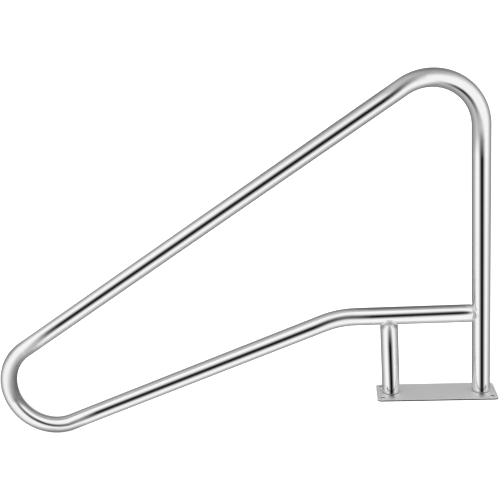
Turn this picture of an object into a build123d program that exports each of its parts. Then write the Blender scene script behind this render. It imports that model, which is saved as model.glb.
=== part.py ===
from build123d import *
from math import cos, radians, sin, sqrt
import os

# Pool stair handrail: a welded assembly of two stainless tubes and a base plate.
#
# Frame: +Z up, +X from the nose of the rail towards the rear post, Y across the rail.
# The origin is the centre of the base plate's underside, where it rests on the deck.
# Millimetres and degrees.

# Tube, the same for the rail and its support post
TUBE_OD = 48.3
TUBE_WALL = 1.5

# Base plate
PLATE_LENGTH = 326.0
PLATE_WIDTH = 100.0
PLATE_THICKNESS = 5.0
PLATE_CORNER_RADIUS = 10.0
PLATE_EDGE_BREAK = 0.6
HOLE_DIAMETER = 11.0
HOLE_INSET = 15.0

# Rail, heights above the plate's top face
POST_SPACING = 246.0
RAIL_HEIGHT = 885.0
LEVEL_RUN_HEIGHT = 229.0
OVERALL_LENGTH = 1420.0
DIAGONAL_ANGLE = 31.5
LEG_ANGLE = 20.7
TOP_BEND_RADIUS = 127.0
NOSE_BEND_RADIUS = 132.0
LOWER_BEND_RADIUS = 254.0

# Welds
ROOT_GAP = 1.0
FOOT_WELD_LEG = 4.0
FOOT_WELD_CROWN = 0.5
BEAD_RADIUS = 4.0
BEAD_SINK = 1.0

TUBE_RADIUS = TUBE_OD / 2
BORE_RADIUS = TUBE_RADIUS - TUBE_WALL
COPE_RADIUS = TUBE_RADIUS + ROOT_GAP
REAR_POST_X = POST_SPACING / 2
SUPPORT_POST_X = -POST_SPACING / 2
LEVEL_RUN_Z = PLATE_THICKNESS + LEVEL_RUN_HEIGHT
END_STUB_LENGTH = 2.5 * TUBE_OD


def rail_route():
    """Centreline of the rail in the XZ plane, from the rear post's foot to the level run."""
    diagonal = radians(DIAGONAL_ANGLE)
    leg = radians(LEG_ANGLE)

    post_top_z = PLATE_THICKNESS + RAIL_HEIGHT - TUBE_RADIUS - TOP_BEND_RADIUS
    post = Line((REAR_POST_X, PLATE_THICKNESS), (REAR_POST_X, post_top_z))
    top_bend = JernArc(post @ 1, post % 1, TOP_BEND_RADIUS, 90 + DIAGONAL_ANGLE)

    nose_outer_x = REAR_POST_X + TUBE_RADIUS - OVERALL_LENGTH
    nose_centre_x = nose_outer_x + TUBE_RADIUS + NOSE_BEND_RADIUS
    diagonal_end_x = nose_centre_x - NOSE_BEND_RADIUS * sin(diagonal)
    diagonal_length = ((top_bend @ 1).X - diagonal_end_x) / cos(diagonal)
    diagonal_run = Line(top_bend @ 1, top_bend @ 1 + (top_bend % 1) * diagonal_length)
    nose_turn = 180 - DIAGONAL_ANGLE + LEG_ANGLE
    nose_bend = JernArc(diagonal_run @ 1, diagonal_run % 1, NOSE_BEND_RADIUS, nose_turn)

    lower_bend_rise = LOWER_BEND_RADIUS * (1 - cos(leg))
    leg_length = (LEVEL_RUN_Z - lower_bend_rise - (nose_bend @ 1).Y) / sin(leg)
    leg_run = Line(nose_bend @ 1, nose_bend @ 1 + (nose_bend % 1) * leg_length)
    lower_bend = JernArc(leg_run @ 1, leg_run % 1, LOWER_BEND_RADIUS, -LEG_ANGLE)
    level_run = Line(lower_bend @ 1, (REAR_POST_X - END_STUB_LENGTH, LEVEL_RUN_Z))

    runs = [post, top_bend, diagonal_run, nose_bend, leg_run, lower_bend, level_run]
    print("runs and bends, mm:", [round(run.length, 1) for run in runs])
    return Wire([Plane.XZ * run for run in runs])


def tube_along(start, direction, length):
    """A straight open tube from start along direction."""
    plane = Plane(origin=start, z_dir=direction)
    return extrude(plane * (Circle(TUBE_RADIUS) - Circle(BORE_RADIUS)), length)


def rod_along(start, direction, length, radius):
    """A solid round bar, for copes and for cutting weld metal back to a tube."""
    return extrude(Plane(origin=start, z_dir=direction) * Circle(radius), length)


def handrail_tube():
    route = rail_route()
    section = Plane.XY.offset(PLATE_THICKNESS) * Pos(REAR_POST_X, 0)
    section = section * (Circle(TUBE_RADIUS) - Circle(BORE_RADIUS))
    bent = sweep(section, path=route)

    stub_start = (REAR_POST_X - END_STUB_LENGTH, 0, LEVEL_RUN_Z)
    stub = tube_along(stub_start, (1, 0, 0), END_STUB_LENGTH)
    cope_start = (REAR_POST_X, 0, LEVEL_RUN_Z - TUBE_OD)
    stub -= rod_along(cope_start, (0, 0, 1), 2 * TUBE_OD, COPE_RADIUS)
    return bent + stub


def support_post():
    post = tube_along((SUPPORT_POST_X, 0, PLATE_THICKNESS), (0, 0, 1), LEVEL_RUN_HEIGHT)
    cope_start = (SUPPORT_POST_X - TUBE_OD, 0, LEVEL_RUN_Z)
    return post - rod_along(cope_start, (1, 0, 0), 2 * TUBE_OD, COPE_RADIUS)


def base_plate():
    outline = RectangleRounded(PLATE_LENGTH, PLATE_WIDTH, PLATE_CORNER_RADIUS)
    plate = extrude(outline, PLATE_THICKNESS)
    plate = chamfer(plate.faces().sort_by(Axis.Z)[-1].edges(), PLATE_EDGE_BREAK)
    spacing = (PLATE_LENGTH - 2 * HOLE_INSET, PLATE_WIDTH - 2 * HOLE_INSET)
    for place in GridLocations(spacing[0], spacing[1], 2, 2):
        plate -= place * Cylinder(HOLE_DIAMETER / 2, 4 * PLATE_THICKNESS)
    return plate


def foot_weld(post_x):
    """Fillet weld round a post's foot, slightly crowned, in the corner of tube and plate."""
    toe_on_plate = (TUBE_RADIUS + FOOT_WELD_LEG, 0)
    toe_on_tube = (TUBE_RADIUS, FOOT_WELD_LEG)
    mid = TUBE_RADIUS + FOOT_WELD_LEG / 2 + FOOT_WELD_CROWN / sqrt(2)
    crown = (mid, mid - TUBE_RADIUS)
    face = make_face(
        Polyline(toe_on_tube, (TUBE_RADIUS, 0), toe_on_plate)
        + ThreePointArc(toe_on_plate, crown, toe_on_tube)
    )
    ring = revolve(Plane.XZ * face, Axis.Z)
    return Pos(post_x, 0, PLATE_THICKNESS) * ring


def saddle_weld():
    """Bead between a through tube along X and an equal, coped tube that meets it from -Z.

    Equal tubes meet on two half ellipses, in the planes x = -z and x = z below the axis.
    """
    rim = TUBE_RADIUS - BEAD_SINK
    tilted = Plane(origin=(0, 0, 0), x_dir=(1, 0, -1), z_dir=(1, 0, 1))
    seam = tilted * EllipticalCenterArc((0, 0), rim * sqrt(2), rim, -90, arc_size=180)
    section = Plane(origin=seam @ 0, z_dir=seam % 0) * Circle(BEAD_RADIUS)
    half = sweep(section, path=seam)
    bead = half + mirror(half, Plane.YZ)
    for side in (-1, 1):
        bead += Pos(0, side * rim, 0) * Sphere(BEAD_RADIUS)

    reach = 2 * TUBE_OD
    bead -= rod_along((-reach / 2, 0, 0), (1, 0, 0), reach, TUBE_RADIUS)
    bead -= rod_along((0, 0, -reach / 2), (0, 0, 1), reach, BORE_RADIUS)
    branch = tube_along((0, 0, -reach), (0, 0, 1), reach)
    branch -= rod_along((-reach / 2, 0, 0), (1, 0, 0), reach, COPE_RADIUS)
    return bead - branch


def support_head_weld():
    return Pos(SUPPORT_POST_X, 0, LEVEL_RUN_Z) * saddle_weld()


def rail_end_weld():
    return Pos(REAR_POST_X, 0, LEVEL_RUN_Z) * Rot(0, 90, 0) * saddle_weld()


NODES = {
    "handrail_tube": handrail_tube,
    "support_post": support_post,
    "base_plate": base_plate,
    "rear_post_weld": lambda: foot_weld(REAR_POST_X),
    "support_foot_weld": lambda: foot_weld(SUPPORT_POST_X),
    "support_head_weld": support_head_weld,
    "rail_end_weld": rail_end_weld,
}

os.makedirs("parts", exist_ok=True)
for node, make in NODES.items():
    export_step(make(), "parts/" + node + ".step")
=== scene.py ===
from math import asin, atan2, cos, hypot, pi, radians, sin, sqrt

import bmesh
import bpy
from mathutils import Matrix, Vector


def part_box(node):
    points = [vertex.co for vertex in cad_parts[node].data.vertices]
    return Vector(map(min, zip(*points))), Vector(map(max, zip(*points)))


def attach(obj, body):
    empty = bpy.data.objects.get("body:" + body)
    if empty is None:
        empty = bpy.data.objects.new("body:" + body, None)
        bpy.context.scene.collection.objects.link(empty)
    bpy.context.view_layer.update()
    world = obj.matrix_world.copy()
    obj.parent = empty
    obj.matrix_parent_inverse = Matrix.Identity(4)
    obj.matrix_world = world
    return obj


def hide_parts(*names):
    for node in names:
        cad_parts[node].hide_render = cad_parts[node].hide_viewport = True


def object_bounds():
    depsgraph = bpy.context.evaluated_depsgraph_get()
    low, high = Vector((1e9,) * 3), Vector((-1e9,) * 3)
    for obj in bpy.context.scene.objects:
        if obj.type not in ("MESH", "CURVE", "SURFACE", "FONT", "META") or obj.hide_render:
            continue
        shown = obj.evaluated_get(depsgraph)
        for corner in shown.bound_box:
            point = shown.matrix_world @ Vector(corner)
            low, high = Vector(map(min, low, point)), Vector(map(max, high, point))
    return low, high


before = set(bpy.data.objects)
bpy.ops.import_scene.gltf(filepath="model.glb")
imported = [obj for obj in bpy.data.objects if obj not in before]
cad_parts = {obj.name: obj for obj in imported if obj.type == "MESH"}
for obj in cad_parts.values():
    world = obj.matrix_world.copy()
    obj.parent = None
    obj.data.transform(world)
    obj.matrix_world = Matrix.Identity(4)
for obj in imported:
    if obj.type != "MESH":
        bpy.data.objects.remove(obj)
cad_low, cad_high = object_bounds()

# Pool stair handrail in stainless steel: one bent tube, a short support post, a base
# plate with four holes, and the weld beads that join them. Metres, +Z up, the rail in
# the XZ plane with its nose towards -X.


# Places and main sizes, from the frame

def middle(node):
    low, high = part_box(node)
    return (low + high) / 2


rail_low, rail_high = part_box("handrail_tube")
plate_low, plate_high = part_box("base_plate")
REAR_X = middle("rear_post_weld").x
SUPPORT_X = middle("support_foot_weld").x
LEVEL_Z = middle("rail_end_weld").z
DECK_Z = plate_high.z
TUBE_RADIUS = (rail_high.y - rail_low.y) / 2

# Tube route
TUBE_WALL = 0.0015
DIAGONAL_TILT = radians(31.5)
LEG_TILT = radians(20.7)
TOP_BEND_RADIUS = 0.127
NOSE_BEND_RADIUS = 0.132
LOWER_BEND_RADIUS = 0.254
ROOT_GAP = 0.001
COPE_RADIUS = TUBE_RADIUS + ROOT_GAP
ROUND_SEGMENTS = 80
STRAIGHT_STEP = 0.012
BEND_STEP = radians(3)
TINY = 1e-5

# Satin finish at the tubes' welded ends: its length at an end and at the post's head, how
# far its mask runs on past an end, and the length that it fades over
SATIN_END = 0.004
SATIN_HEAD = 0.02
SATIN_BEYOND = 0.03
SATIN_FADE = 0.02

# Base plate
PLATE_CORNER_RADIUS = 0.010
PLATE_EDGE_BREAK = 0.0009
HOLE_RADIUS = 0.0055
HOLE_INSET = 0.015
HOLE_SEGMENTS = 40
CORNER_SEGMENTS = 8
EDGE_SEGMENTS = 3
SHARP_EDGE = radians(60)

# The level run is drawn in just before it meets the rear post
NECK_LENGTH = 0.004
NECK_STEPS = 6
NECK_SHARE = 0.86

# Weld beads
FOOT_BEAD_RADIUS = 0.0015
SADDLE_BEAD_RADIUS = 0.0018
BEAD_SINK = 0.0006
RIPPLE_PITCH = 0.0021
RIPPLE_HEIGHT = 0.00018
RIPPLE_STEPS = 6
BEAD_SEGMENTS = 14

# Each ripple leans back on both sides of this angle round the bead's section
RIPPLE_CREST = radians(45)
RIPPLE_LEAN = 1.3


# Shader maths

class Amount:
    """A number that varies over a surface. Python arithmetic on it adds Math nodes."""

    def __init__(self, recipe, socket):
        self.recipe = recipe
        self.socket = socket

    def maths(self, operation, *values):
        sockets = dict(enumerate(values))
        return self.recipe.node("ShaderNodeMath", {"operation": operation}, sockets)["Value"]

    def __add__(self, other):
        return self.maths("ADD", self, other)

    def __radd__(self, other):
        return self.maths("ADD", other, self)

    def __sub__(self, other):
        return self.maths("SUBTRACT", self, other)

    def __rsub__(self, other):
        return self.maths("SUBTRACT", other, self)

    def __mul__(self, other):
        return self.maths("MULTIPLY", self, other)

    def __rmul__(self, other):
        return self.maths("MULTIPLY", other, self)

    def larger(self, other):
        return self.maths("MAXIMUM", self, other)

    def step(self, low, high):
        """0 below low, 1 above high and a smooth rise between; low may be the larger."""
        settings = {"interpolation_type": "SMOOTHSTEP", "clamp": True}
        sockets = {"Value": self, "From Min": low, "From Max": high}
        return self.recipe.node("ShaderNodeMapRange", settings, sockets)["Result"]


class Recipe:
    """The nodes of one material, or of the studio."""

    def __init__(self, tree):
        tree.nodes.clear()
        self.tree = tree

    def node(self, kind, settings=None, sockets=None):
        """Adds a node: its settings, then its sockets' values or links. Gives its outputs."""
        made = self.tree.nodes.new(kind)
        for name, setting in (settings or {}).items():
            if name == "stops":
                ramp = made.color_ramp.elements
                while len(ramp) < len(setting):
                    ramp.new(1.0)
                for stop, (place, grey) in zip(ramp, setting):
                    stop.position = place
                    stop.color = (grey, grey, grey, 1.0)
            else:
                setattr(made, name, setting)
        for name, value in (sockets or {}).items():
            if isinstance(name, int):
                socket = made.inputs[name]
            else:
                socket = next(s for s in made.inputs if s.enabled and s.name == name)
            if isinstance(value, Amount):
                self.tree.links.new(value.socket, socket)
            else:
                socket.default_value = value
        return {out.name: Amount(self, out) for out in made.outputs if out.enabled}

    def place(self):
        return self.node("ShaderNodeTexCoord")["Object"]

    def attribute(self, name, output):
        return self.node("ShaderNodeAttribute", {"attribute_name": name})[output]

    def stretch(self, vector, scale):
        sockets = {"Vector": vector, "Scale": scale}
        return self.node("ShaderNodeMapping", None, sockets)["Vector"]

    def noise(self, vector, scale, detail=2.0):
        sockets = {"Vector": vector, "Scale": scale, "Detail": detail}
        return self.node("ShaderNodeTexNoise", None, sockets)["Fac"]

    def distance(self, vector, point):
        settings = {"operation": "DISTANCE"}
        return self.node("ShaderNodeVectorMath", settings, {0: vector, 1: point})["Value"]

    def grey(self, amount):
        sockets = {"Red": amount, "Green": amount, "Blue": amount}
        return self.node("ShaderNodeCombineColor", None, sockets)["Color"]

    def bump(self, height, depth):
        sockets = {"Height": height, "Distance": depth, "Strength": 1.0}
        return self.node("ShaderNodeBump", None, sockets)["Normal"]

    def metal(self, colour, roughness, normal):
        sockets = {"Base Color": colour, "Roughness": roughness, "Normal": normal,
                   "Metallic": 1.0}
        shader = self.node("ShaderNodeBsdfPrincipled", None, sockets)["BSDF"]
        self.node("ShaderNodeOutputMaterial", None, {"Surface": shader})


def new_material(name):
    material = bpy.data.materials.new(name)
    material.use_nodes = True
    return material, Recipe(material.node_tree)


# Materials

# Polished tube. A stretch's first number is along the tube, the others across it.
TUBE_GREY = 0.80
TUBE_GLOSS = 0.085
SATIN_ROUGHNESS = 0.13
BELT_STRETCH = (1500.0, 30.0, 30.0)
BELT_DEPTH = 0.000012
BAND_STRETCH = (90.0, 12.0, 12.0)
CLOUD_SCALE = 40.0
TUBE_UNEVEN = 0.04
SATIN_DARK = 0.02

# Satin plate
PLATE_GREY = 0.95
PLATE_ROUGHNESS = 0.64
GRAIN_STRETCH = (30.0, 900.0, 900.0)
GRAIN_DEPTH = 0.00002
GRAIN_GREY = 0.06
GRAIN_ROUGHNESS = 0.1
PATCH_SCALE = 300.0
PATCH_GREY = 0.4
PATCH_ROUGHNESS = 0.25
RUBBED_EVERYWHERE = 0.15
RUBBED_END = 0.045
RUBBED_FOOT = 0.025
# A ring of painted shade on the plate round each post's foot, in the weld's toe: its width and
# darkness
TOE_SHADE_WIDTH = 0.0034
TOE_PAINTED_SHADE = 0.6
# The plate's side faces below the top edge's break: where they start, where they are full, their
# painted shade and their gloss
CUT_EDGE_START = 0.9 * PLATE_EDGE_BREAK
CUT_EDGE_FULL = 1.4 * PLATE_EDGE_BREAK
SIDE_PAINTED_SHADE = 0.9
CUT_EDGE_GLOSS = 0.3

# Weld metal
WELD_GREY = 0.88
WELD_ROUGHNESS = 0.55
MOTTLE_SCALE = 420.0
MOTTLE_DEPTH = 0.00006
MOTTLE_GREY = 0.25
MOTTLE_ROUGHNESS = 0.2
SPECK_SCALE = 900.0
SPECK_START = 0.60
SPECK_FULL = 0.72
SPECK_DARK = 0.15


def polished_tube():
    """Bright polished tube: fine belt marks round it, softer where the satin mask rises."""
    material, recipe = new_material("polished_tube")
    along = recipe.attribute("along", "Vector")
    satin = recipe.attribute("satin", "Fac")
    belt = recipe.noise(recipe.stretch(along, BELT_STRETCH), 1.0, 3.0)
    bands = recipe.noise(recipe.stretch(along, BAND_STRETCH), 1.0, 2.0)
    cloud = recipe.noise(along, CLOUD_SCALE, 3.0)
    roughness = TUBE_GLOSS + satin * (SATIN_ROUGHNESS - TUBE_GLOSS)
    roughness = roughness + (bands - 0.5) * TUBE_UNEVEN + (cloud - 0.5) * TUBE_UNEVEN
    colour = recipe.grey(TUBE_GREY + (bands - 0.5) * TUBE_UNEVEN - satin * SATIN_DARK)
    normal = recipe.bump(belt, BELT_DEPTH)
    recipe.metal(colour, roughness, normal)
    return material


def satin_plate():
    """Even satin plate: rubbed near its ends and feet, with painted shade in the welds' toes and
    on its side faces, which are also glossier.
    """
    material, recipe = new_material("satin_plate")
    place = recipe.place()
    grain = recipe.noise(recipe.stretch(place, GRAIN_STRETCH), 1.0, 3.0)
    patches = recipe.noise(place, PATCH_SCALE, 3.0)
    axes = recipe.node("ShaderNodeSeparateXYZ", None, {"Vector": place})
    from_middle = axes["X"].maths("ABSOLUTE", axes["X"])
    half = (plate_high.x - plate_low.x) / 2
    rubbed = from_middle.step(half - RUBBED_END, half)
    # Painted shade: a dark ring round each post's foot, where it meets the plate
    toe_shades = []
    for x in (REAR_X, SUPPORT_X):
        away = recipe.distance(place, (x, 0.0, DECK_Z)) - TUBE_RADIUS
        rubbed = rubbed.larger(away.step(RUBBED_FOOT, 0.0))
        toe_shades.append(away.step(TOE_SHADE_WIDTH, TOE_SHADE_WIDTH / 2))
    toe_shade = toe_shades[0].larger(toe_shades[1])
    uneven = (RUBBED_EVERYWHERE + rubbed) * (patches - 0.5)
    # The side faces: painted shade darkens their colour, and they are glossier
    side_faces = axes["Z"].step(DECK_Z - CUT_EDGE_START, DECK_Z - CUT_EDGE_FULL)
    grey = PLATE_GREY + (grain - 0.5) * GRAIN_GREY + uneven * PATCH_GREY
    colour = recipe.grey(grey * (1 - toe_shade * TOE_PAINTED_SHADE) * (1 - side_faces * SIDE_PAINTED_SHADE))
    roughness = PLATE_ROUGHNESS + (grain - 0.5) * GRAIN_ROUGHNESS + uneven * PATCH_ROUGHNESS
    roughness = roughness - side_faces * CUT_EDGE_GLOSS
    normal = recipe.bump(grain + rubbed * patches, GRAIN_DEPTH)
    recipe.metal(colour, roughness, normal)
    return material


def weld_metal():
    """Weld bead, faintly mottled, with a few darker specks."""
    material, recipe = new_material("weld_metal")
    place = recipe.place()
    mottle = recipe.noise(place, MOTTLE_SCALE, 3.0)
    specks = recipe.noise(place, SPECK_SCALE).step(SPECK_START, SPECK_FULL)
    colour = recipe.grey(WELD_GREY + (mottle - 0.5) * MOTTLE_GREY - specks * SPECK_DARK)
    roughness = WELD_ROUGHNESS + (mottle - 0.5) * MOTTLE_ROUGHNESS
    normal = recipe.bump(mottle, MOTTLE_DEPTH)
    recipe.metal(colour, roughness, normal)
    return material


MATERIALS = {make.__name__: make() for make in (polished_tube, satin_plate, weld_metal)}


# Pieces

def finish_piece(name, mesh_data, slot, node):
    """Turns a bmesh into a piece that rides the frame in place of its CAD node."""
    mesh = bpy.data.meshes.new(name)
    mesh_data.to_mesh(mesh)
    mesh_data.free()
    mesh.materials.append(MATERIALS[slot])
    piece = bpy.data.objects.new(name, mesh)
    bpy.context.scene.collection.objects.link(piece)
    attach(piece, "root")
    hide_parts(node)
    return piece


def smooth_rise(value, low, high):
    """0 below low, 1 above high and a smooth rise between."""
    share = min(1.0, max(0.0, (value - low) / (high - low)))
    return share * share * (3 - 2 * share)


class Tube:
    """A tube's outer skin, grown ring by ring along a route in the XZ plane."""

    def __init__(self, start, heading):
        self.mesh = bmesh.new()
        self.along = self.mesh.verts.layers.float_vector.new("along")
        self.satin = self.mesh.verts.layers.float.new("satin")
        self.point = Vector(start)
        self.heading = heading
        self.run = 0.0
        self.satin_spans = []
        self.stations = [(0.0, Vector(start), heading)]
        bmesh.ops.create_circle(self.mesh, segments=ROUND_SEGMENTS, radius=TUBE_RADIUS)
        for vert in self.mesh.verts:
            vert[self.along] = (0.0, vert.co.x, vert.co.y)
        turn = Matrix.Rotation(pi / 2 - heading, 4, "Y")
        bmesh.ops.transform(self.mesh, matrix=Matrix.Translation(start) @ turn,
                            verts=self.mesh.verts)
        self.edges = self.mesh.edges[:]

    def direction(self):
        return Vector((cos(self.heading), 0.0, sin(self.heading)))

    def grow(self, move, length):
        """Extrudes the open end and puts the new ring where move takes it."""
        grown = bmesh.ops.extrude_edge_only(self.mesh, edges=self.edges)["geom"]
        ring = [part for part in grown if isinstance(part, bmesh.types.BMVert)]
        self.edges = [part for part in grown
                      if isinstance(part, bmesh.types.BMEdge) and part.is_boundary]
        self.run += length
        for vert in ring:
            vert[self.along].x = self.run
        bmesh.ops.transform(self.mesh, matrix=move, verts=ring)

    def straight(self, length):
        count = max(1, round(length / STRAIGHT_STEP))
        step = self.direction() * (length / count)
        for _ in range(count):
            self.grow(Matrix.Translation(step), length / count)
            self.point = self.point + step
            self.stations.append((self.run, self.point, self.heading))

    def bend(self, angle, radius):
        """Turns left by angle, or right if it is negative, with a satin finish."""
        side = Vector((-sin(self.heading), 0.0, cos(self.heading)))
        centre = self.point + side * radius * (1 if angle > 0 else -1)
        count = max(4, round(abs(angle) / BEND_STEP))
        turn = Matrix.Rotation(-angle / count, 4, "Y")
        move = Matrix.Translation(centre) @ turn @ Matrix.Translation(-centre)
        start = self.run
        for _ in range(count):
            self.grow(move, abs(angle) * radius / count)
            self.point = move @ self.point
            self.heading += angle / count
            self.stations.append((self.run, self.point, self.heading))
        self.satin_spans.append((start, self.run))

    def close(self):
        """Masks the satin spans, fading beyond their ends, and gives the tube its wall."""
        for vert in self.mesh.verts:
            run = vert[self.along].x
            vert[self.satin] = max(
                smooth_rise(run, low - SATIN_FADE, low + SATIN_FADE / 2)
                * smooth_rise(-run, -high - SATIN_FADE, SATIN_FADE / 2 - high)
                for low, high in self.satin_spans)
        bmesh.ops.recalc_face_normals(self.mesh, faces=self.mesh.faces)
        bmesh.ops.solidify(self.mesh, geom=self.mesh.faces[:], thickness=TUBE_WALL)
        for face in self.mesh.faces:
            face.smooth = True
        return self.mesh


def cope_depth(offset):
    """How far short of the other tube's axis a coped wall stops, at that offset from it."""
    return sqrt(COPE_RADIUS ** 2 - offset ** 2)


def handrail():
    """The whole rail: rear post, top bend, diagonal, nose, leg, lower bend, level run."""
    top_bend_z = rail_high.z - TUBE_RADIUS - TOP_BEND_RADIUS
    tube = Tube((REAR_X, 0.0, DECK_Z), radians(90))
    tube.satin_spans.append((0.0, SATIN_END))
    tube.straight(top_bend_z - DECK_Z)
    tube.bend(radians(90) + DIAGONAL_TILT, TOP_BEND_RADIUS)

    nose_x = rail_low.x + TUBE_RADIUS + NOSE_BEND_RADIUS
    nose_start_x = nose_x - NOSE_BEND_RADIUS * sin(DIAGONAL_TILT)
    tube.straight((tube.point.x - nose_start_x) / cos(DIAGONAL_TILT))
    tube.bend(pi - DIAGONAL_TILT + LEG_TILT, NOSE_BEND_RADIUS)

    lower_bend_rise = LOWER_BEND_RADIUS * (1 - cos(LEG_TILT))
    tube.straight((LEVEL_Z - lower_bend_rise - tube.point.z) / sin(LEG_TILT))
    tube.bend(-LEG_TILT, LOWER_BEND_RADIUS)

    tube.straight(REAR_X - TUBE_RADIUS - NECK_LENGTH - tube.point.x)
    neck_run = tube.run
    for _ in range(NECK_STEPS):
        tube.straight(NECK_LENGTH / NECK_STEPS)
    tube.satin_spans.append((tube.run - SATIN_END, tube.run + SATIN_BEYOND))
    end_run = tube.run
    mesh = tube.close()
    for vert in mesh.verts:
        run = vert[tube.along].x
        if run > neck_run:
            drawn = min(1.0, (run - neck_run) / (end_run - neck_run))
            shrink = NECK_SHARE + (1 - NECK_SHARE) * sqrt(1 - drawn * drawn)
            vert.co.y *= shrink
            vert.co.z = LEVEL_Z + (vert.co.z - LEVEL_Z) * shrink
        if run > end_run - TINY:
            vert.co.x = REAR_X - cope_depth(vert.co.y)
    finish_piece("bent_handrail", mesh, "polished_tube", "handrail_tube")
    return tube.stations


def support():
    """The short post, coped at its head to sit under the level run."""
    tube = Tube((SUPPORT_X, 0.0, DECK_Z), radians(90))
    tube.satin_spans.append((0.0, SATIN_END))
    tube.straight(LEVEL_Z - TUBE_RADIUS - DECK_Z)
    tube.satin_spans.append((tube.run - SATIN_HEAD, tube.run + SATIN_BEYOND))
    head_z = tube.point.z
    mesh = tube.close()
    for vert in mesh.verts:
        if abs(vert.co.z - head_z) < TINY:
            vert.co.z = LEVEL_Z - cope_depth(vert.co.y)
    finish_piece("short_post", mesh, "polished_tube", "support_post")
    # The front wall reaches above the post's nominal end, up to the tip of the cope
    cope_tip = Vector((SUPPORT_X, 0.0, LEVEL_Z - cope_depth(TUBE_RADIUS)))
    return tube.stations + [(cope_tip.z - DECK_Z, cope_tip, tube.heading)]


def weld_ring(ring_radius, bead_radius):
    """A rippled bead that closes on itself round the Z axis, centred at the origin."""
    mesh = bmesh.new()
    bmesh.ops.create_circle(mesh, segments=BEAD_SEGMENTS, radius=bead_radius)
    bmesh.ops.rotate(mesh, verts=mesh.verts, matrix=Matrix.Rotation(pi / 2, 3, "X"))
    bmesh.ops.translate(mesh, verts=mesh.verts, vec=(ring_radius, 0.0, 0.0))
    ripples = round(2 * pi * ring_radius / RIPPLE_PITCH)
    bmesh.ops.spin(mesh, geom=mesh.verts[:] + mesh.edges[:], axis=(0, 0, 1), cent=(0, 0, 0),
                   steps=RIPPLE_STEPS * ripples, angle=2 * pi, use_merge=True)
    for vert in mesh.verts:
        radius = hypot(vert.co.x, vert.co.y)
        angle = atan2(vert.co.y, vert.co.x)
        lean = abs(atan2(vert.co.z, radius - ring_radius) - RIPPLE_CREST)
        swell = 1 + RIPPLE_HEIGHT / bead_radius * cos(ripples * angle + RIPPLE_LEAN * lean)
        moved = ring_radius + (radius - ring_radius) * swell
        vert.co = Vector((moved * cos(angle), moved * sin(angle), vert.co.z * swell))
    bmesh.ops.recalc_face_normals(mesh, faces=mesh.faces)
    for face in mesh.faces:
        face.smooth = True
    return mesh


def foot_weld(name, node):
    """The bead round a post's foot."""
    mesh = weld_ring(TUBE_RADIUS + BEAD_SINK, FOOT_BEAD_RADIUS)
    foot = Vector((middle(node).x, 0.0, DECK_Z + BEAD_SINK))
    bmesh.ops.translate(mesh, verts=mesh.verts, vec=foot)
    return finish_piece(name, mesh, "weld_metal", node)


def saddle_weld(name, node, share, place, turn):
    """A bead where a coped end meets a tube from below, then turned into place.

    share is the coped end's radius as a part of the tube's."""
    mesh = weld_ring(TUBE_RADIUS * share - BEAD_SINK, SADDLE_BEAD_RADIUS)
    for vert in mesh.verts:
        offset = min(abs(vert.co.y), TUBE_RADIUS)
        vert.co.z -= cope_depth(offset) - ROOT_GAP
    bmesh.ops.transform(mesh, matrix=Matrix.Translation(place) @ turn, verts=mesh.verts)
    return finish_piece(name, mesh, "weld_metal", node)


def plate():
    """The base plate: rounded corners, four bolt holes and softly broken edges."""
    mesh = bmesh.new()
    low, high = plate_low, plate_high
    corners = ((low.x, low.y), (high.x, low.y), (high.x, high.y), (low.x, high.y))
    outline = mesh.faces.new([mesh.verts.new((x, y, high.z)) for x, y in corners])
    bmesh.ops.bevel(mesh, geom=outline.verts[:], offset=PLATE_CORNER_RADIUS,
                    segments=CORNER_SEGMENTS, profile=0.5, affect="VERTICES", material=-1)
    bmesh.ops.delete(mesh, geom=mesh.faces[:], context="FACES_ONLY")
    for x in (low.x + HOLE_INSET, high.x - HOLE_INSET):
        for y in (low.y + HOLE_INSET, high.y - HOLE_INSET):
            bmesh.ops.create_circle(mesh, segments=HOLE_SEGMENTS, radius=HOLE_RADIUS,
                                    matrix=Matrix.Translation((x, y, high.z)))
    bmesh.ops.triangle_fill(mesh, edges=mesh.edges[:], use_beauty=True, use_dissolve=False)
    grown = bmesh.ops.extrude_face_region(mesh, geom=mesh.faces[:])["geom"]
    under = [part for part in grown if isinstance(part, bmesh.types.BMVert)]
    bmesh.ops.translate(mesh, verts=under, vec=(0, 0, low.z - high.z))
    bmesh.ops.recalc_face_normals(mesh, faces=mesh.faces)
    rims = [edge for edge in mesh.edges if edge.calc_face_angle(0) > SHARP_EDGE]
    bmesh.ops.bevel(mesh, geom=rims, offset=PLATE_EDGE_BREAK, segments=EDGE_SEGMENTS,
                    profile=0.5, affect="EDGES", material=-1)
    return finish_piece("foot_plate", mesh, "satin_plate", "base_plate")


rail_stations = handrail()
post_stations = support()
plate()
foot_weld("rear_foot_bead", "rear_post_weld")
foot_weld("support_foot_bead", "support_foot_weld")
saddle_weld("support_head_bead", "support_head_weld", 1.0,
            (SUPPORT_X, 0.0, LEVEL_Z), Matrix.Identity(4))
saddle_weld("rail_end_bead", "rail_end_weld", NECK_SHARE,
            (REAR_X, 0.0, LEVEL_Z), Matrix.Rotation(pi / 2, 4, "Y"))


# Studio

EYE = Vector((-0.2231, -1.9958, 0.9792))
EYE_YAW, EYE_PITCH, EYE_ROLL = radians(7.66), radians(-15.05), radians(-4.52)
EYE_LENS = 54.86

FLOOR_DROP = 0.012
FLOOR_SIZE = 30.0
FLOOR_GREY = 0.9
FLOOR_GLOW = 0.7
BACKDROP = 1.6

# The tent's brightness from straight behind the rail (-1) to straight in front of it (1)
FRONT_AZIMUTH = radians(-3)
FRONT_ELEVATION = radians(9)
TENT_PEAK = 1.2
TENT = [(-1.0, 0.15), (-0.6, 0.34), (-0.2, 0.56), (0.1, 0.86), (0.4, 1.17), (0.7, 1.15),
        (1.0, 1.15)]

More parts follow.
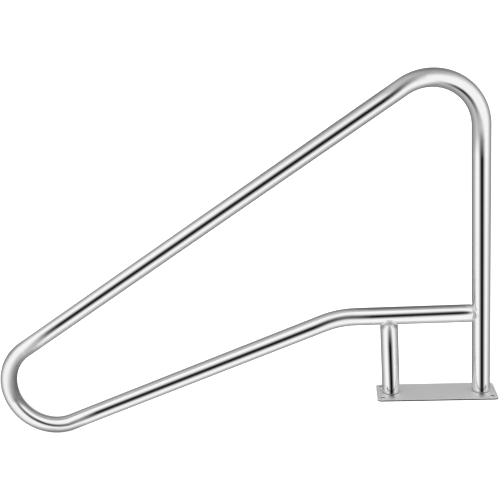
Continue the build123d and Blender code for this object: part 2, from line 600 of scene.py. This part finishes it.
# Black flags hang just in front of the tubes, where the camera sees them mirrored, and
# draw the tubes' dark lines. Each flag is a list of keys: run along the tube, place across
# it (-1 the loop's inner edge, 1 its outer edge), reach to each side, and darkness. White
# flags behind the tubes lighten the back's flanks, seen from the mirrored place.
FLAG_GAP = 0.003
FLAG_ACROSS = 24
FLAG_CORE = 0.12
FLAG_LIMIT = 0.99
BACK_GLOW = 0.85
BACK_REACH = 0.70
BACK_CENTRE = 0.05
FLANK_START, FLANK_FULL, FLANK_FADE = 0.05, 0.35, 0.65
RAIL_FLAGS = {
    "rear_post": [(0.0, 0.12, 0.42, 1.0), (0.31, 0.09, 0.42, 1.0), (0.65, 0.06, 0.42, 1.0),
                  (0.68, 0.03, 0.44, 0.85), (0.70, 0.02, 0.46, 0.75),
                  (0.73, -0.10, 0.50, 0.42), (0.76, -0.22, 0.36, 0.5),
                  (0.78, -0.26, 0.30, 0.65), (0.81, -0.29, 0.27, 0.9),
                  (0.84, -0.34, 0.25, 1.0), (0.87, -0.40, 0.22, 0.85), (0.91, -0.46, 0.15, 0.0)],
    "diagonal": [(0.94, 0.16, 0.40, 0.1), (0.98, 0.08, 0.40, 0.55), (1.02, -0.02, 0.40, 0.9),
                 (1.06, -0.08, 0.41, 1.0), (1.3, -0.06, 0.42, 1.0), (1.5, -0.04, 0.42, 1.0),
                 (2.16, 0.02, 0.42, 1.0), (2.20, 0.01, 0.44, 0.88), (2.23, -0.05, 0.50, 0.6),
                 (2.28, -0.30, 0.60, 0.3), (2.31, -0.4, 0.5, 0.0)],
    "leg": [(2.48, -0.06, 0.24, 0.0), (2.51, -0.02, 0.24, 0.80), (2.60, 0.06, 0.25, 1.0),
            (2.65, 0.12, 0.26, 0.92), (2.70, 0.16, 0.30, 0.8), (2.74, 0.16, 0.38, 0.7),
            (2.78, 0.12, 0.42, 0.9), (2.80, 0.09, 0.42, 1.0), (3.50, 0.09, 0.42, 1.0),
            (3.54, 0.05, 0.40, 0.95), (3.58, 0.01, 0.40, 0.85), (3.62, 0.06, 0.39, 0.90),
            (3.66, 0.06, 0.39, 1.0),
            (3.81, 0.0, 0.38, 1.0), (3.895, -0.04, 0.37, 1.0), (3.91, -0.04, 0.30, 0.95),
            (3.923, -0.04, 0.22, 0.5)],
    "level_top": [(3.57, -0.82, 0.3, 0.0), (3.62, -0.82, 0.33, 0.3), (3.66, -0.82, 0.35, 0.5),
                  (3.88, -0.82, 0.33, 0.4), (3.92, -0.82, 0.3, 0.25)],
    "top_bend_inside": [(0.66, -0.6, 0.35, 0.0), (0.71, -0.5, 0.40, 0.35),
                        (0.78, -0.5, 0.35, 0.35), (0.86, -0.6, 0.35, 0.3),
                        (0.91, -0.55, 0.35, 0.4), (0.96, -0.85, 0.3, 0.0)],
    "top_bend_outside": [(0.80, 0.80, 0.4, 0.0), (0.86, 0.72, 0.40, 0.30),
                         (0.90, 0.65, 0.50, 0.55), (0.94, 0.60, 0.62, 0.62),
                         (0.98, 0.50, 0.65, 0.50), (1.02, 0.45, 0.55, 0.45),
                         (1.06, 0.70, 0.45, 0.40), (1.3, 0.72, 0.4, 0.35),
                         (1.7, 0.75, 0.35, 0.0)],
    "nose_inside": [(2.24, -0.5, 0.7, 0.0), (2.30, -0.5, 0.65, 0.42), (2.35, -0.5, 0.60, 0.52),
                    (2.40, -0.48, 0.75, 0.55), (2.45, -0.38, 0.85, 0.63),
                    (2.49, -0.22, 0.75, 0.76), (2.53, -0.68, 0.40, 0.32),
                    (2.60, -0.72, 0.35, 0.2), (2.70, -0.75, 0.3, 0.1), (2.75, -0.75, 0.3, 0.0)],
    "nose_outside": [(2.27, 0.8, 0.4, 0.0), (2.34, 0.78, 0.45, 0.42), (2.40, 0.85, 0.40, 0.26),
                     (2.49, 0.90, 0.36, 0.42), (2.57, 0.90, 0.34, 0.40),
                     (2.65, 0.80, 0.45, 0.58), (2.70, 0.80, 0.38, 0.42),
                     (2.76, 0.8, 0.4, 0.0)],
}
POST_FLAGS = {"support_post": [(0.0, 0.08, 0.42, 1.0), (0.15, 0.06, 0.42, 1.0),
                               (0.17, 0.06, 0.40, 0.9), (0.19, 0.06, 0.36, 0.75),
                               (0.2048, 0.06, 0.34, 0.6), (0.24, 0.06, 0.30, 0.35)]}

# One more black strip lies close in front of the plate's front face
EDGE_STRIP_GAP = 0.006
EDGE_STRIP_TOP = 0.001
EDGE_STRIP_DROP = 0.045
EDGE_STRIP_REACH = 1.2
EDGE_STRIP_COVER = 0.9


def staged(name, mesh, material):
    """Makes a bmesh a part of the studio."""
    data = bpy.data.meshes.new(name)
    mesh.to_mesh(data)
    mesh.free()
    data.materials.append(material)
    stage = bpy.data.objects.new(name, data)
    bpy.context.scene.collection.objects.link(stage)
    return stage


def hang(name, mesh, material):
    """Stages a strip that shows only where polished metal mirrors it."""
    strip = staged(name, mesh, material)
    strip.visible_camera = False
    strip.visible_diffuse = False
    strip.visible_shadow = False


def floor():
    """A plain white floor below the rail's nose, left out of the metal's reflections."""
    mesh = bmesh.new()
    bmesh.ops.create_grid(mesh, x_segments=1, y_segments=1, size=FLOOR_SIZE / 2)
    bmesh.ops.translate(mesh, verts=mesh.verts, vec=(0, 0, cad_low.z - FLOOR_DROP))
    material, recipe = new_material("floor_white")
    sockets = {"Base Color": (FLOOR_GREY, FLOOR_GREY, FLOOR_GREY, 1.0), "Roughness": 0.9,
               "Emission Color": (1.0, 1.0, 1.0, 1.0), "Emission Strength": FLOOR_GLOW}
    shader = recipe.node("ShaderNodeBsdfPrincipled", None, sockets)["BSDF"]
    recipe.node("ShaderNodeOutputMaterial", None, {"Surface": shader})
    staged("studio_floor", mesh, material).visible_glossy = False


def flag_cloth(name, glow):
    """Black, or glowing white, and let through where the cover attribute is low."""
    material, recipe = new_material(name)
    clear = recipe.node("ShaderNodeBsdfTransparent")["BSDF"]
    cloth = recipe.node("ShaderNodeEmission", None, {"Strength": glow})["Emission"]
    cover = recipe.attribute("cover", "Fac")
    mixed = recipe.node("ShaderNodeMixShader", None, {0: cover, 1: clear, 2: cloth})["Shader"]
    recipe.node("ShaderNodeOutputMaterial", None, {"Surface": mixed})
    return material


def between_keys(keys, run):
    """The keys' values at that run, blended evenly from one key to the next."""
    for low, high in zip(keys, keys[1:]):
        if run <= high[0]:
            share = max(0.0, (run - low[0]) / (high[0] - low[0]))
            return [one + (two - one) * share for one, two in zip(low[1:], high[1:])]
    return keys[-1][1:]


def dark_core(off_centre):
    """A black flag's cover: full along its middle and fading to its edges."""
    return 1 - smooth_rise(off_centre, FLAG_CORE, 1.0)


def bright_flanks(off_centre):
    """A white flag's cover: clear along its middle, full to both sides, fading at its edges."""
    rise = smooth_rise(off_centre, FLANK_START, FLANK_FULL)
    return rise * (1 - smooth_rise(off_centre, FLANK_FADE, 1.0))


def flag(name, stations, keys, material, eye, cover_across):
    """A soft strip that follows a tube and hangs where that eye sees it mirrored."""
    passed = [station for station in stations if keys[0][0] <= station[0] <= keys[-1][0]]
    mesh = bmesh.new()
    cover = mesh.verts.layers.float.new("cover")
    bmesh.ops.create_grid(mesh, x_segments=FLAG_ACROSS, y_segments=len(passed) - 1, size=1.0)
    for vert in mesh.verts:
        side = vert.co.x
        run, point, heading = passed[round((vert.co.y + 1) / 2 * (len(passed) - 1))]
        centre, reach, darkness = between_keys(keys, run)
        along = Vector((cos(heading), 0.0, sin(heading)))
        to_eye = (eye - point).normalized()
        facing = (to_eye - along * to_eye.dot(along)).normalized()
        outer = along.cross(facing)
        angle = asin(max(-FLAG_LIMIT, min(FLAG_LIMIT, centre + side * reach)))
        normal = facing * cos(angle) + outer * sin(angle)
        mirrored = normal * (2 * to_eye.dot(normal)) - to_eye
        vert.co = point + normal * TUBE_RADIUS + mirrored * FLAG_GAP
        vert[cover] = darkness * cover_across(abs(side))
    hang(name, mesh, material)


def studio():
    """A white tent, bright in front, softer at the sides and grey behind."""
    world = bpy.data.worlds.new("studio")
    bpy.context.scene.world = world
    world.use_nodes = True
    recipe = Recipe(world.node_tree)
    sight = recipe.node("ShaderNodeTexCoord")["Generated"]
    axes = recipe.node("ShaderNodeSeparateXYZ", None, {"Vector": sight})
    front = Vector((sin(FRONT_AZIMUTH) * cos(FRONT_ELEVATION),
                    -cos(FRONT_AZIMUTH) * cos(FRONT_ELEVATION), sin(FRONT_ELEVATION)))
    frontness = axes["X"] * front.x + axes["Y"] * front.y + axes["Z"] * front.z
    stops = [(0.5 + 0.5 * place, white / TENT_PEAK) for place, white in TENT]
    tent = recipe.node("ShaderNodeValToRGB", {"stops": stops}, {"Fac": frontness * 0.5 + 0.5})
    glow = tent["Color"] * TENT_PEAK
    seen = recipe.node("ShaderNodeLightPath")["Is Camera Ray"]
    strength = glow + seen * (BACKDROP - glow)
    sky = recipe.node("ShaderNodeBackground", None,
                      {"Color": (1.0, 1.0, 1.0, 1.0), "Strength": strength})["Background"]
    recipe.node("ShaderNodeOutputWorld", None, {"Surface": sky})


def camera():
    """Stands a little above the rail and to the left of the posts, looking down at it."""
    data = bpy.data.cameras.new("camera")
    data.lens = EYE_LENS
    data.sensor_width = 36.0
    data.clip_end = 100.0
    eye = bpy.data.objects.new("camera", data)
    turn = Matrix.Rotation(EYE_YAW, 4, "Z") @ Matrix.Rotation(radians(90) + EYE_PITCH, 4, "X")
    turn = turn @ Matrix.Rotation(EYE_ROLL, 4, "Z")
    eye.matrix_world = Matrix.Translation(EYE) @ turn
    bpy.context.scene.collection.objects.link(eye)
    bpy.context.scene.camera = eye


def edge_strip(material):
    """The black strip close in front of the plate's front face."""
    mesh = bmesh.new()
    bmesh.ops.create_grid(mesh, x_segments=1, y_segments=1, size=0.5)
    cover = mesh.verts.layers.float.new("cover")
    length = (plate_high.x - plate_low.x) * EDGE_STRIP_REACH
    height = plate_high.z - plate_low.z + EDGE_STRIP_DROP
    middle_z = plate_high.z - EDGE_STRIP_TOP - height / 2
    for vert in mesh.verts:
        vert[cover] = EDGE_STRIP_COVER
        vert.co = Vector((vert.co.x * length, plate_low.y - EDGE_STRIP_GAP,
                          middle_z + vert.co.y * height))
    hang("plate_edge_flag", mesh, material)


floor()
black = flag_cloth("black_cloth", 0.0)
edge_strip(black)
for name, keys in RAIL_FLAGS.items():
    flag(name + "_flag", rail_stations, keys, black, EYE, dark_core)
for name, keys in POST_FLAGS.items():
    flag(name + "_flag", post_stations, keys, black, EYE, dark_core)
white = flag_cloth("white_cloth", BACK_GLOW)
back_eye = Vector((EYE.x, -EYE.y, EYE.z))
for name, stations in (("rail_back", rail_stations), ("post_back", post_stations)):
    keys = [(0.0, BACK_CENTRE, BACK_REACH, 1.0), (stations[-1][0], 0.0, BACK_REACH, 1.0)]
    flag(name + "_flag", stations, keys, white, back_eye, bright_flanks)
studio()
camera()
bpy.context.scene.view_settings.view_transform = "Standard"
